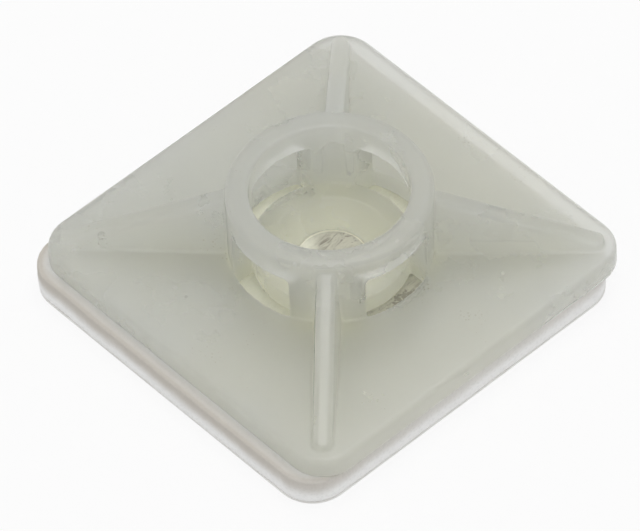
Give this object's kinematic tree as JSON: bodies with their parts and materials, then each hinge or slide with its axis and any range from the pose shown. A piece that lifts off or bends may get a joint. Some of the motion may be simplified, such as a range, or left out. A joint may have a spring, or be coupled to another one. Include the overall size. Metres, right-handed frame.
{
  "type": "cable tie mount",
  "caption": "Square self-adhesive base with a slotted ring, diagonal ribs and a countersunk screw hole. A cable tie threads through the ring from either direction.",
  "frame": {"origin": "on the ring's axis, at the release liner's underside, where the mount is stuck down", "axes": "+Z away from the surface that it is stuck to, along the ring's axis and the screw hole; +X and +Y along the plate's sides, each through two facing slots"},
  "size_m": [0.0202, 0.0206, 0.0065],
  "materials": {
    "natural_nylon": "milky translucent natural nylon, satin moulded surface, faint mottling and a little dust",
    "white_foam_tape": "white closed-cell foam with cut sides and a tacky adhesive face, grey with dust where the moulding leaves it open",
    "liner_paper": "thin siliconised release paper, smooth with a slight sheen"
  },
  "bodies": {
    "root": {"mount_body": "natural_nylon", "foam_pad": "white_foam_tape", "release_liner": "liner_paper"}
  },
  "joints": []
}
